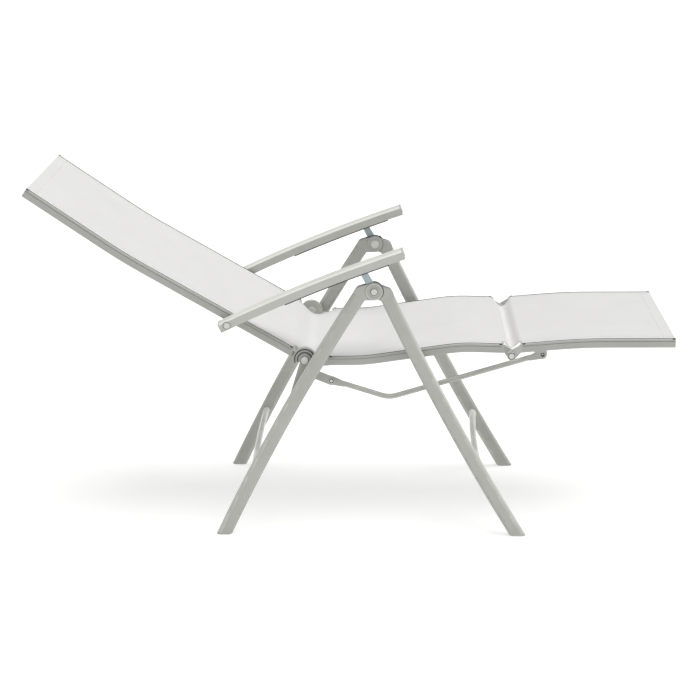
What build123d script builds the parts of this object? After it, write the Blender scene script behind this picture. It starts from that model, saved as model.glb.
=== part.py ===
from build123d import *
import os
from math import cos, radians, sin, tan

os.makedirs("parts", exist_ok=True)

# Reclining garden armchair, folding, with a leg rest that follows the back.
# Every length is in millimetres. The sitter faces +X, +Y is the sitter's left and +Z is up.
# Places in the side view are measured from the apex hinge (x) and from the floor (z), and the
# finished pieces are moved so that the origin lies under the middle of the chair.

# Places of the pivots and the feet
apex_height = 572.0
rear_foot_back = 342.0
front_foot_forward = 332.0
corner_back = 157.0
corner_height = 406.5
knee_forward = 312.0
knee_height = 417.0
leg_track = 566.0

# Leg tubes: flat-oval, gently curved, both bowed towards the rear
leg_width = 32.0
leg_depth = 20.0
leg_edge_radius = 9.0
leg_wall = 1.8
rear_leg_top_back = 33.4
rear_leg_top_drop = 12.0
front_leg_top_forward = 30.0
front_leg_top_drop = 16.0
rear_leg_bow = 11.0
front_leg_bow = 8.5
seat_pivot_share = 0.237
stay_pivot_share = 0.467

# Apex hinge: two cheeks on the rear leg, an eye and the latch plate between them
disc_radius = 20.0
cheek_thickness = 5.0
eye_radius = 17.0
eye_thickness = 7.0
hinge_play = 0.3
slot_radius = 27.0
disc_gap = 0.8
fold_angle = 56.0
spigot_length = 26.0
shoulder_reach = 9.0
spigot_clearance = 0.3
apex_bolt_radius = 6.0
apex_head_radius = 10.0
apex_cap_radius = 6.5
head_thickness = 2.6
cap_thickness = 1.6
running_clearance = 0.05

# Latch plate and its pin, which carries the front of the armrest
latch_thickness = 5.0
latch_width = 18.0
latch_end_radius = 7.5
latch_pin_back = 27.0
latch_pin_rise = 47.5
latch_pin_radius = 3.5
latch_pin_length = 27.0
latch_fold_angle = 172.0
latch_sweep_shares = (0.6, 0.7, 0.8, 0.9, 1.0)

# Cross bars of the two leg frames: oval tubes, the front one slightly bowed
bar_long = 20.0
bar_short = 14.0
bar_wall = 1.6
bar_share = 0.755
front_bar_share = 0.745
rear_bar_bow = 3.0
front_bar_bow = 8.0

# Feet: plastic plugs with a sole as wide as the tube
foot_sole = 4.0
foot_plug_height = 26.0
foot_edge = 1.2

# Rails of the back, seat and leg rest: one aluminium section with a groove for the sling
rail_depth = 25.0
rail_height = 21.0
rail_wall = 1.6
rail_edge_radius = 3.0
rail_void_height = 8.0
groove_width = 3.0
groove_depth = 7.5
groove_lip = 2.6
flange_thickness = 2.5

# Armrests: an inverted channel with the notched rack inside
arm_width = 47.0
arm_height = 20.5
arm_wall = 2.2
arm_edge_radius = 5.0
arm_gap = 3.5
arm_rear_back = 344.0
arm_rear_height = 489.0
arm_front_forward = 63.0
arm_front_height = 657.5
arm_bow = 7.0
arm_bolt_inset = 16.0
arm_bolt_radius = 4.0
arm_head_radius = 9.5
arm_cap_thickness = 3.0
arm_plug_length = 9.0
latch_mouth_height = 9.0
latch_mouth_play = 1.5
rack_start = 138.0
rack_length = 250.0
rack_drop = 3.0
rack_web = 1.5
rack_flange = 2.5
rack_tooth_depth = 2.6
rack_tooth_length = 9.0
rack_tooth_inset = 0.8
rack_teeth = 8
rack_clearance = 0.2

# Lines of the three rails, from the head to the toes, each as corners that are rounded off
back_bend_back = 565.0
back_bend_height = 639.0
back_head_back = 781.5
back_head_height = 785.0
back_rail_slope = 29.9
seat_low_back = 22.0
seat_low_height = 403.5
seat_high_forward = 196.0
seat_high_height = 436.0
seat_end_height = 433.5
seat_slope_start = 3.0
leg_rest_bend_forward = 470.0
leg_rest_bend_height = 446.5
leg_rest_end_forward = 679.0
leg_rest_end_height = 448.0
leg_rest_start_height = 434.5
back_bend_radius = 1400.0
seat_bend_radius = 420.0
corner_room_share = 0.45
leg_rest_bend_radius = 1600.0

# Corner hinge between back and seat, knee hinge between seat and leg rest
back_rail_start = 35.0
seat_rail_start = 54.0
seat_knee_reach = 20.0
leg_rest_knee_reach = 23.0
corner_eye_radius = 12.0
corner_neck_top = 1.0
corner_pin_radius = 4.0
knee_eye_radius = 10.5
knee_pin_radius = 4.0
knee_head_radius = 9.5
lug_play = 0.3

# Stays between the corner hinge and the rear legs
stay_thickness = 4.0
stay_width = 18.0
stay_eye_radius = 12.5
stay_bolt_radius = 3.5
stay_head_radius = 8.5
stay_head_thickness = 4.0
stay_pin_radius = 4.0
spacer_wall = 4.0

# Seat pivots on the front legs
seat_bolt_radius = 4.0

# Cranks on the back, link rods and brackets on the leg rest
crank_thickness = 4.0
crank_width = 20.0
crank_knee_forward = 4.0
crank_knee_drop = 34.0
crank_pin_forward = 60.0
crank_pin_drop = 56.5
crank_pin_radius = 4.0
rivet_head_radius = 6.5
rivet_head_thickness = 1.4
rivet_play = 0.1
rod_radius = 6.0
rod_bend_back = 192.0
rod_bend_drop = 97.5
rod_bend_radius = 60.0
rod_flat_thickness = 4.0
rod_flat_length = 30.0
rod_play = 0.4
bracket_pin_forward = 72.0
bracket_pin_drop = 3.5
bracket_width = 19.0
bracket_length = 36.0
bracket_hole_radius = 3.2

# Cross tubes under the sling
tube_radius = 8.0
tube_wall = 1.5
tube_drop = 2.2
seat_rear_tube_reach = 62.0
seat_front_tube_reach = 34.0
back_low_tube_reach = 78.0
end_tube_inset = 16.0
leg_rest_tube_reach = 52.0
end_cap_thickness = 3.0
end_plug_length = 14.0

# Sling: one length of coated mesh, held in the rail grooves
sling_thickness = 1.2
sling_gap = 0.3
sling_end_inset = 2.0
bridge_notch = 18.0
bridge_rise = 4.0

# Places worked out from the sizes above
leg_plane = leg_track / 2
leg_inner = leg_plane - leg_depth / 2
rail_outer = leg_plane - arm_width / 2 - arm_gap
rail_plane = rail_outer - rail_depth / 2
rail_inner = rail_outer - rail_depth
apex = Vector(0, 0, apex_height)
corner = Vector(-corner_back, 0, corner_height)
knee = Vector(knee_forward, 0, knee_height)
rear_top = apex + Vector(-rear_leg_top_back, 0, -rear_leg_top_drop)
front_top = apex + Vector(front_leg_top_forward, 0, -front_leg_top_drop)
rear_foot = Vector(-rear_foot_back, 0, 0)
front_foot = Vector(front_foot_forward, 0, 0)
latch_pin = apex + Vector(-latch_pin_back, 0, latch_pin_rise)
crank_knee = corner + Vector(crank_knee_forward, 0, -crank_knee_drop)
crank_pin = corner + Vector(crank_pin_forward, 0, -crank_pin_drop)
rod_bend = corner + Vector(rod_bend_back, 0, -rod_bend_drop)
rod_end = knee + Vector(bracket_pin_forward, 0, -bracket_pin_drop)


def bowed(start, end, bow):
    """Arc from start to end whose middle stands off the chord by bow, to the left of the run."""
    run = end - start
    side = Vector(run.Z, 0, -run.X).normalized()
    return Edge.make_three_point_arc(start, (start + end) * 0.5 - side * bow, end)


rear_leg_line = bowed(rear_top, rear_foot, -rear_leg_bow)
front_leg_line = bowed(front_top, front_foot, -front_leg_bow)
seat_pivot = front_leg_line @ seat_pivot_share
stay_pivot = rear_leg_line @ stay_pivot_share
arm_line = bowed(
    Vector(-arm_rear_back, 0, arm_rear_height),
    Vector(arm_front_forward, 0, arm_front_height),
    arm_bow,
)
arm_bolt = arm_line @ (arm_bolt_inset / arm_line.length)

nodes = {}


def keep(name, *shapes):
    """Files solids under a node's name."""
    for shape in shapes:
        nodes.setdefault(name, []).extend(shape.solids())


def other_side(shape):
    """The same piece for the sitter's right."""
    return mirror(shape, Plane.XZ)


def keep_pair(name, shape):
    """One node that holds a left and a right piece."""
    keep(name, shape, other_side(shape))


def keep_sides(name, shape):
    """Two nodes, one for each side."""
    keep(name + "_left", shape)
    keep(name + "_right", other_side(shape))


def side_plate(face, low, high):
    """A flat piece drawn in the side view, between two distances from the middle plane."""
    plane = Plane(origin=(0, high, 0), x_dir=(1, 0, 0), z_dir=(0, -1, 0))
    return extrude(plane * face, amount=high - low)


def disc(centre, radius, low, high):
    """A round piece whose axis runs across the chair."""
    middle = Vector(centre.X, (low + high) / 2, centre.Z)
    return Pos(*middle) * Rot(90, 0, 0) * Cylinder(radius, high - low)


def spot(point, radius):
    """A circle in the side view."""
    return Pos(point.X, point.Z) * Circle(radius)


def strap(start, end, width):
    """A bar with round ends in the side view."""
    return make_hull(spot(start, width / 2).edges() + spot(end, width / 2).edges())


def station(line, share, plane_y):
    """A plane across a line in the side view, with its x axis across the chair."""
    point = line @ share
    return Plane(origin=(point.X, plane_y, point.Z), x_dir=(0, 1, 0), z_dir=line % share)


def along(line, section, plane_y):
    """A section swept along a line of the side view."""
    path = Pos(0, plane_y, 0) * line
    return sweep(station(line, 0, plane_y) * section, path=path)


def end_edges(line, share, width):
    """The two corner points of a bar's end in the side view, as a line's edges."""
    point = line @ share
    run = line % share
    side = Vector(-run.Z, 0, run.X)
    low = point - side * (width / 2)
    high = point + side * (width / 2)
    return [Edge.make_line((low.X, low.Z), (high.X, high.Z))]


# Leg tubes
leg_section = RectangleRounded(leg_depth, leg_width, leg_edge_radius)
leg_bore = RectangleRounded(
    leg_depth - 2 * leg_wall, leg_width - 2 * leg_wall, leg_edge_radius - leg_wall
)
floor_slab = Box(
    4 * rear_foot_back,
    2 * leg_track,
    2 * leg_width,
    align=(Align.CENTER, Align.CENTER, Align.MAX),
)


def leg_tube(line):
    """A leg tube with its lower end cut level with the top of the foot's sole."""
    longer = Edge.make_three_point_arc(line @ 0, line @ 0.5, line @ 1)
    tail = Edge.make_line(line @ 1, line @ 1 + (line % 1) * leg_width)
    path = Wire([longer, tail])
    tube = along(path, leg_section - leg_bore, leg_plane)
    return tube - Pos(0, 0, foot_sole) * floor_slab


def foot(line):
    """A plug in the tube's end with a level sole."""
    longer = Edge.make_three_point_arc(line @ 0, line @ 0.5, line @ 1)
    tail = Edge.make_line(line @ 1, line @ 1 + (line % 1) * leg_width)
    path = Wire([longer, tail])
    low = Pos(0, 0, 0) * floor_slab
    sole = along(path, leg_section, leg_plane) - low
    sole = sole & (Pos(0, 0, foot_sole) * floor_slab)
    sole = chamfer(sole.faces().sort_by(Axis.Z)[0].edges(), foot_edge)
    plug_section = RectangleRounded(
        leg_depth - 2 * leg_wall - 2 * spigot_clearance,
        leg_width - 2 * leg_wall - 2 * spigot_clearance,
        leg_edge_radius - leg_wall - spigot_clearance,
    )
    plug = along(path, plug_section, leg_plane) - Pos(0, 0, foot_sole) * floor_slab
    plug = plug & (Pos(0, 0, foot_plug_height) * floor_slab)
    return sole + plug


rear_leg = leg_tube(rear_leg_line) - disc(stay_pivot, stay_pin_radius, 0, leg_track)
front_leg = leg_tube(front_leg_line) - disc(seat_pivot, seat_bolt_radius, 0, leg_track)
keep_sides("rear_leg", rear_leg)
keep_sides("front_leg", front_leg)
keep_pair("rear_feet", foot(rear_leg_line))
keep_pair("front_feet", foot(front_leg_line))

# Apex hinge castings
slot_depth = eye_thickness + latch_thickness + 2 * hinge_play
knuckle_depth = slot_depth + 2 * cheek_thickness
knuckle_low = leg_plane - knuckle_depth / 2
knuckle_high = leg_plane + knuckle_depth / 2
slot_low = leg_plane - slot_depth / 2
slot_high = leg_plane + slot_depth / 2
eye_low = slot_low + hinge_play
latch_low = eye_low + eye_thickness
bolt_hole_radius = apex_bolt_radius + running_clearance
spigot_section = RectangleRounded(
    leg_depth - 2 * leg_wall - 2 * spigot_clearance,
    leg_width - 2 * leg_wall - 2 * spigot_clearance,
    leg_edge_radius - leg_wall - spigot_clearance,
)


def spigot(line):
    """The part of a casting that is pushed into its tube."""
    return extrude(station(line, 0, leg_plane) * spigot_section, amount=spigot_length)


def neck(line, eye, low, high):
    """A casting that goes on from its tube, bends round and meets its eye."""
    shoulder = line @ 0 - line % 0 * shoulder_reach
    round_end = spot(shoulder, leg_width / 2)
    straight = make_hull(round_end.edges() + end_edges(line, 0, leg_width))
    bent = straight + make_hull(round_end.edges() + spot(apex, eye).edges())
    tube_room = station(line, 0, leg_plane) * Rectangle(2 * leg_width, 2 * leg_width)
    return side_plate(bent, low, high) - extrude(tube_room, amount=leg_width)


rear_knuckle = neck(rear_leg_line, disc_radius, leg_inner, leg_inner + leg_depth)
rear_knuckle += disc(apex, disc_radius, knuckle_low, knuckle_high)
rear_knuckle -= disc(apex, slot_radius, slot_low, slot_high)
rear_knuckle -= disc(apex, apex_bolt_radius, 0, leg_track)
rear_knuckle += spigot(rear_leg_line)
keep_sides("rear_knuckle", rear_knuckle)

front_knuckle = neck(front_leg_line, eye_radius, leg_inner, leg_inner + leg_depth)
front_knuckle -= disc(apex, disc_radius + disc_gap, 0, leg_track)
folded_neck = make_hull(
    spot(apex, disc_radius + disc_gap).edges()
    + end_edges(rear_leg_line, 0, leg_width + 2 * disc_gap)
)
folded_room = Pos(*-apex) * side_plate(folded_neck, 0, leg_track)
front_knuckle -= Pos(*apex) * Rot(0, -fold_angle, 0) * folded_room
front_knuckle += neck(front_leg_line, eye_radius, eye_low, latch_low)
front_knuckle -= disc(apex, bolt_hole_radius, 0, leg_track)
front_knuckle += spigot(front_leg_line)

# Latch plates turn on the apex bolts, between the eye and a cheek, and swing down as it folds
latch_face = make_hull(spot(apex, latch_width / 2).edges() + spot(latch_pin, latch_end_radius).edges())
latch_room = side_plate(
    make_hull(
        spot(apex, latch_width / 2 + hinge_play).edges()
        + spot(latch_pin, latch_end_radius + hinge_play).edges()
    ),
    latch_low,
    latch_low + latch_thickness + hinge_play,
)
latch_plate = side_plate(latch_face, latch_low, latch_low + latch_thickness)
latch_plate -= disc(apex, bolt_hole_radius, 0, leg_track)
latch_plate -= disc(latch_pin, latch_pin_radius, 0, leg_track)
front_knuckle -= latch_room
for share in latch_sweep_shares:
    turned = Rot(0, share * (latch_fold_angle - fold_angle), 0) * Pos(*-apex) * latch_room
    front_knuckle -= Pos(*apex) * turned
keep_sides("front_knuckle", front_knuckle)
keep_sides("latch_plate", latch_plate)
keep_pair(
    "latch_pins",
    disc(
        latch_pin,
        latch_pin_radius,
        leg_plane - latch_pin_length / 2,
        leg_plane + latch_pin_length / 2,
    ),
)

apex_bolt = disc(apex, apex_bolt_radius, knuckle_low, knuckle_high)
apex_bolt += disc(apex, apex_head_radius, knuckle_high, knuckle_high + head_thickness)
apex_bolt += disc(
    apex,
    apex_cap_radius,
    knuckle_high + head_thickness,
    knuckle_high + head_thickness + cap_thickness,
)
apex_bolt += disc(apex, apex_head_radius, knuckle_low - head_thickness, knuckle_low)
keep_pair("apex_bolts", apex_bolt)


# Cross bars
def cross_bar(line, share, bow, toe_out):
    """An oval tube from leg to leg, bowed in the direction of toe_out."""
    point = line @ share
    run = line % share
    reach = leg_inner
    left = Vector(point.X, reach, point.Z)
    right = Vector(point.X, -reach, point.Z)
    middle = Vector(point.X + toe_out * bow, 0, point.Z)
    path = Edge.make_three_point_arc(left, middle, right)
    section = Ellipse(bar_long / 2, bar_short / 2) - Ellipse(
        bar_long / 2 - bar_wall, bar_short / 2 - bar_wall
    )
    start = Plane(origin=left, x_dir=run, z_dir=path % 0)
    bar = sweep(start * section, path=path)
    return bar & Box(4 * rear_foot_back, 2 * reach, 4 * apex_height)


keep("rear_cross_bar", cross_bar(rear_leg_line, bar_share, rear_bar_bow, -1))
keep("front_cross_bar", cross_bar(front_leg_line, front_bar_share, front_bar_bow, -1))


# Rails
def rounded_line(points, radius):
    """A line of the side view whose corners are rounded off, as far as their runs have room."""
    spots = [Vector(p.X, 0, p.Z) for p in points]
    runs = [after - before for before, after in zip(spots, spots[1:])]
    radii = []
    for before, after in zip(runs, runs[1:]):
        half_turn = radians(before.get_angle(after)) / 2
        room = corner_room_share * min(before.length, after.length)
        radii.append(min(radius, room / tan(half_turn)))
    return FilletPolyline(*spots, radius=radii)


def rail_section():
    """The rail's section, with its x axis to the outside and its y axis to the sitter."""
    outer = RectangleRounded(rail_depth, rail_height, rail_edge_radius)
    void_width = rail_depth - 2 * rail_wall
    low_void = Pos(0, -rail_height / 2 + rail_wall + rail_void_height / 2) * RectangleRounded(
        void_width, rail_void_height, rail_wall / 2
    )
    upper_height = rail_height - 3 * rail_wall - rail_void_height
    upper_width = void_width - groove_width - groove_lip
    upper_void = Pos(
        -void_width / 2 + upper_width / 2, rail_height / 2 - rail_wall - upper_height / 2
    ) * RectangleRounded(upper_width, upper_height, rail_wall / 2)
    groove = Pos(
        rail_depth / 2 - groove_lip - groove_width / 2, rail_height / 2 - groove_depth / 2
    ) * Rectangle(groove_width, groove_depth)
    return outer - low_void - upper_void - groove


back_slope = Vector(-cos(radians(back_rail_slope)), 0, sin(radians(back_rail_slope)))
back_foot = corner + back_slope * back_rail_start
seat_rear = Vector(corner.X + seat_rail_start, 0, seat_low_height - seat_slope_start / 3)
seat_low = Vector(-seat_low_back, 0, seat_low_height)
seat_high = Vector(seat_high_forward, 0, seat_high_height)
seat_front = Vector(knee.X - seat_knee_reach, 0, seat_end_height)
leg_rest_start = Vector(knee.X + leg_rest_knee_reach, 0, leg_rest_start_height)
leg_rest_bend = Vector(leg_rest_bend_forward, 0, leg_rest_bend_height)
leg_rest_end = Vector(leg_rest_end_forward, 0, leg_rest_end_height)
back_bend = Vector(-back_bend_back, 0, back_bend_height)
back_head = Vector(-back_head_back, 0, back_head_height)

back_line = rounded_line([back_head, back_bend, back_foot], back_bend_radius)
seat_line = rounded_line([seat_rear, seat_low, seat_high, seat_front], seat_bend_radius)
leg_rest_line = rounded_line([leg_rest_start, leg_rest_bend, leg_rest_end], leg_rest_bend_radius)

back_rail = along(back_line, rail_section(), rail_plane)
seat_rail = along(seat_line, rail_section(), rail_plane)
leg_rest_rail = along(leg_rest_line, rail_section(), rail_plane)
seat_rail -= disc(seat_pivot, seat_bolt_radius + running_clearance, 0, leg_track)
back_rail -= disc(arm_bolt, arm_bolt_radius + running_clearance, 0, leg_track)
keep_sides("back_rail", back_rail)
keep_sides("seat_rail", seat_rail)
keep_sides("leg_rest_rail", leg_rest_rail)

# Hinge castings at the rails' ends, each with a spigot in its rail
spigot_width = rail_depth - 2 * rail_wall - 2 * spigot_clearance
spigot_height = rail_void_height - 2 * spigot_clearance
void_middle = -rail_height / 2 + rail_wall + rail_void_height / 2
outer_half = (rail_plane + lug_play / 2, rail_outer)
inner_half = (rail_inner, rail_plane - lug_play / 2)


def rail_end_piece(line, share, outwards, plug_length):
    """A flange on the rail's end and a spigot in its void. outwards is 1 at the end, -1 at the start."""
    place = station(line, share, rail_plane)
    flange = extrude(
        place * RectangleRounded(rail_depth, rail_height, rail_edge_radius),
        amount=outwards * flange_thickness,
    )
    plug = extrude(
        place * Pos(0, void_middle) * RectangleRounded(spigot_width, spigot_height, rail_wall / 2),
        amount=-outwards * plug_length,
    )
    return flange + plug


def neck_face(line, share, outwards, centre, top, bottom):
    """The side view of a neck from a rail's end to an eye, between two heights on the rail."""
    point = line @ share
    run = (line % share) * outwards
    up = Vector(-(line % share).Z, 0, (line % share).X)
    reach = (centre - point).dot(run)
    corners = [
        point + up * bottom,
        point + up * top,
        point + up * top + run * reach,
        point + up * bottom + run * reach,
    ]
    return make_face(Polyline(*[(c.X, c.Z) for c in corners], close=True))


def corner_lug(line, share, outwards, half):
    """Half of the corner hinge on one rail."""
    casting = rail_end_piece(line, share, outwards, spigot_length)
    half_height = rail_height / 2
    neck = neck_face(line, share, outwards, corner, corner_neck_top, -half_height)
    casting += side_plate(neck, *half)
    casting += disc(corner, corner_eye_radius, *half)
    return casting - disc(corner, corner_pin_radius + running_clearance, 0, leg_track)


def knee_lug(line, share, outwards, half):
    """Half of the knee hinge: an arm that curves down from the rail's end to the pin."""
    casting = rail_end_piece(line, share, outwards, spigot_length)
    arm = make_hull(
        spot(knee, knee_eye_radius).edges()
        + end_edges(line, share, rail_height - 2 * rail_edge_radius)
    )
    casting += side_plate(arm, *half)
    return casting - disc(knee, knee_pin_radius + running_clearance, 0, leg_track)


keep_pair("back_corner_lugs", corner_lug(back_line, 1, 1, inner_half))
keep_pair("seat_corner_lugs", corner_lug(seat_line, 0, -1, outer_half))
keep_pair("seat_knee_lugs", knee_lug(seat_line, 1, 1, inner_half))
keep_pair("leg_rest_knee_lugs", knee_lug(leg_rest_line, 0, -1, outer_half))
keep_pair(
    "corner_pins", disc(corner, corner_pin_radius, rail_inner + hinge_play, rail_outer - hinge_play)
)
knee_pin = disc(knee, knee_pin_radius, rail_inner, rail_outer)
knee_pin += disc(knee, knee_head_radius, rail_outer + hinge_play, rail_outer + head_thickness)
knee_pin += disc(knee, knee_pin_radius, rail_outer, rail_outer + head_thickness)
knee_pin += disc(
    knee,
    knee_pin_radius + cap_thickness,
    rail_outer + head_thickness,
    rail_outer + head_thickness + cap_thickness,
)
keep_pair("knee_pins", knee_pin)


# Stays
stay_low = rail_outer + arm_gap
stay_high = stay_low + stay_thickness
stay_face = strap(corner, stay_pivot, stay_width) + spot(corner, stay_eye_radius)
stay_face += spot(stay_pivot, stay_eye_radius)
stay = side_plate(stay_face, stay_low, stay_high)
stay -= disc(stay_pivot, stay_pin_radius + running_clearance, 0, leg_track)
stay -= disc(corner, stay_bolt_radius, 0, leg_track)
keep_sides("stay", stay)
stay_bolt = disc(corner, stay_bolt_radius, rail_outer + lug_play, stay_high)
stay_bolt += disc(corner, stay_head_radius, stay_high, stay_high + stay_head_thickness)
keep_pair("stay_bolts", stay_bolt)
stay_pin = disc(stay_pivot, stay_pin_radius, stay_low, leg_inner + leg_depth)
stay_pin += disc(
    stay_pivot,
    stay_pin_radius + spacer_wall,
    stay_low - hinge_play - cap_thickness,
    stay_low - hinge_play,
)
stay_pin += disc(stay_pivot, stay_pin_radius, stay_low - hinge_play, stay_low)
keep_pair("stay_pins", stay_pin)
stay_spacer = disc(stay_pivot, stay_pin_radius + spacer_wall, stay_high + hinge_play, leg_inner)
stay_spacer -= disc(stay_pivot, stay_pin_radius + running_clearance, 0, leg_track)
keep_pair("stay_spacers", stay_spacer)

# Seat pivots
seat_bolt = disc(seat_pivot, seat_bolt_radius, rail_inner, leg_inner + leg_depth)
keep_pair("seat_bolts", seat_bolt)
seat_spacer = disc(seat_pivot, seat_bolt_radius + spacer_wall, rail_outer + hinge_play, leg_inner)
seat_spacer -= disc(seat_pivot, seat_bolt_radius + running_clearance, 0, leg_track)
keep_pair("seat_spacers", seat_spacer)

# Cranks on the back's lower ends
crank_low = rail_inner - crank_thickness
crank_face = strap(corner, crank_knee, crank_width) + strap(crank_knee, crank_pin, crank_width)
crank = side_plate(crank_face, crank_low, rail_inner)
crank -= disc(crank_pin, crank_pin_radius + running_clearance, 0, leg_track)
keep_sides("crank", crank)

# Link rods: round bar, flattened at both ends
rod_high = crank_low - rod_play
rod_low = rod_high - rod_flat_thickness
rod_plane = rod_high - rod_radius
rod_run_start = (rod_bend - crank_pin).normalized()
rod_run_end = (rod_bend - rod_end).normalized()
rod_path = rounded_line(
    [
        crank_pin + rod_run_start * (rod_flat_length / 2),
        rod_bend,
        rod_end + rod_run_end * (rod_flat_length / 2),
    ],
    rod_bend_radius,
)
rod = along(rod_path, Circle(rod_radius), rod_plane)
for pin_point, run in ((crank_pin, rod_run_start), (rod_end, rod_run_end)):
    flat = make_hull(
        spot(pin_point, crank_width / 2).edges()
        + spot(pin_point + run * rod_flat_length, rod_radius).edges()
    )
    rod += side_plate(flat, rod_low, rod_high)
rod -= disc(crank_pin, crank_pin_radius + running_clearance, 0, leg_track)
rod -= disc(rod_end, crank_pin_radius, 0, leg_track)
keep_sides("link_rod", rod)
crank_rivet = disc(crank_pin, crank_pin_radius, rod_low - rivet_play, rail_inner + rivet_play)
crank_rivet += disc(
    crank_pin,
    rivet_head_radius,
    rod_low - rivet_play - rivet_head_thickness,
    rod_low - rivet_play,
)
crank_rivet += disc(
    crank_pin,
    rivet_head_radius,
    rail_inner + rivet_play,
    rail_inner + rivet_play + rivet_head_thickness,
)
keep_pair("crank_rivets", crank_rivet)
rod_rivet = disc(rod_end, crank_pin_radius, rod_low, rod_high)
rod_rivet += disc(rod_end, rivet_head_radius, rod_low - rivet_head_thickness, rod_low)
keep_pair("rod_rivets", rod_rivet)

# Brackets under the leg rest
bracket_run = leg_rest_line % 0
bracket_top = Vector(rod_end.X, 0, rod_end.Z) + Vector(0, 0, bracket_width)
bracket_face = make_hull(
    spot(rod_end, bracket_width / 2).edges()
    + spot(bracket_top, bracket_width / 2).edges()
    + spot(bracket_top - bracket_run * (bracket_length - bracket_width), bracket_width / 2).edges()
)
rail_band = make_face(
    Polyline(
        *[
            (p.X, p.Z)
            for p in (
                leg_rest_start + Vector(0, 0, -leg_rest_end_forward),
                leg_rest_end + Vector(0, 0, -leg_rest_end_forward),
                leg_rest_end,
                leg_rest_bend,
                leg_rest_start,
            )
        ],
        close=True,
    )
)
bracket = side_plate(bracket_face & rail_band, crank_low, rail_inner)
bracket -= disc(rod_end, bracket_hole_radius, 0, leg_track)


# Cross tubes
def tube_centre(line, share):
    """The middle of a cross tube, a little below the rail's middle."""
    run = line % share
    return line @ share - Vector(-run.Z, 0, run.X) * tube_drop


def across(line, share):
    """A round tube between the two rails."""
    centre = tube_centre(line, share)
    tube = disc(centre, tube_radius, -rail_inner, rail_inner)
    return tube - disc(centre, tube_radius - tube_wall, -rail_inner, rail_inner)


leg_rest_tube_share = (leg_rest_tube_reach - leg_rest_knee_reach) / leg_rest_line.length
bracket -= disc(tube_centre(leg_rest_line, leg_rest_tube_share), tube_radius, 0, leg_track)
keep_pair("leg_rest_brackets", bracket)
keep(
    "back_cross_tubes",
    across(back_line, end_tube_inset / back_line.length),
    across(back_line, 1 - (back_low_tube_reach - back_rail_start) / back_line.length),
)
keep(
    "seat_cross_tubes",
    across(seat_line, (seat_rear_tube_reach - seat_rail_start + tube_radius) / seat_line.length),
    across(seat_line, 1 - (seat_front_tube_reach - seat_knee_reach) / seat_line.length),
)
keep(
    "leg_rest_cross_tubes",
    across(leg_rest_line, leg_rest_tube_share),
    across(leg_rest_line, 1 - end_tube_inset / leg_rest_line.length),
)


# End caps at the head and the toes
def end_cap(line, share, outwards):
    """A moulded cap on the rail's open end."""
    place = station(line, share, rail_plane)
    lip = extrude(
        place * RectangleRounded(rail_depth, rail_height, rail_edge_radius),
        amount=outwards * end_cap_thickness,
    )
    plug = extrude(
        place * Pos(0, void_middle) * RectangleRounded(spigot_width, spigot_height, rail_wall / 2),
        amount=-outwards * end_plug_length,
    )
    return lip + plug


keep_pair("back_end_caps", end_cap(back_line, 0, -1))
keep_pair("leg_rest_end_caps", end_cap(leg_rest_line, 1, 1))

# Sling: sheet over the rails, with an edge folded down into each groove
groove_plane = rail_outer - groove_lip - groove_width / 2
sling_low = rail_height / 2 + sling_gap
sling_section = Pos(0, sling_low + sling_thickness / 2) * Rectangle(
    2 * groove_plane + sling_thickness, sling_thickness
)
for flap_side in (-1, 1):
    sling_section += Pos(
        flap_side * groove_plane, sling_low + sling_thickness - groove_depth / 2
    ) * Rectangle(sling_thickness, groove_depth)


def middle_part(line, start_inset, end_inset):
    """A line without its two ends."""
    return line.trim(start_inset / line.length, 1 - end_inset / line.length)


keep("back_sling", along(middle_part(back_line, sling_end_inset, sling_end_inset), sling_section, 0))
keep("seat_sling", along(middle_part(seat_line, sling_end_inset, sling_end_inset), sling_section, 0))
keep(
    "leg_rest_sling",
    along(middle_part(leg_rest_line, sling_end_inset, sling_end_inset), sling_section, 0),
)


def bridge(line_a, line_b, rise):
    """The sling where it runs free over a hinge, narrowed by a notch at each side."""
    share_a = 1 - sling_end_inset / line_a.length
    share_b = sling_end_inset / line_b.length
    lift = sling_low + sling_thickness / 2
    ends = []
    for line, share in ((line_a, share_a), (line_b, share_b)):
        run = line % share
        ends.append(line @ share + Vector(-run.Z, 0, run.X) * lift)
    run = (ends[1] - ends[0]).normalized()
    ends[0] += run * sling_gap
    ends[1] -= run * sling_gap
    middle = (ends[0] + ends[1]) * 0.5 - Vector(-run.Z, 0, run.X) * rise
    path = Edge.make_three_point_arc(ends[0], middle, ends[1])
    return along(path, Rectangle(2 * (rail_inner - bridge_notch), sling_thickness), 0)


keep("corner_sling", bridge(back_line, seat_line, bridge_rise))
keep("knee_sling", bridge(seat_line, leg_rest_line, bridge_rise))

# Armrests
arm_outer = RectangleRounded(arm_width, arm_height + arm_edge_radius, arm_edge_radius)
arm_outer = Pos(0, -arm_edge_radius / 2) * arm_outer
arm_cut = Pos(0, -arm_height / 2 - arm_edge_radius) * Rectangle(2 * arm_width, 2 * arm_edge_radius)
arm_room = Pos(0, -arm_height / 2 + (arm_height - arm_wall) / 2 - arm_height / 2) * RectangleRounded(
    arm_width - 2 * arm_wall, 2 * arm_height - arm_wall, arm_edge_radius - arm_wall
)
arm_section = arm_outer - arm_cut - arm_room
armrest = along(arm_line, arm_section, leg_plane)
armrest -= disc(arm_bolt, arm_bolt_radius + running_clearance, 0, leg_track)
keep_sides("armrest", armrest)

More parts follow.
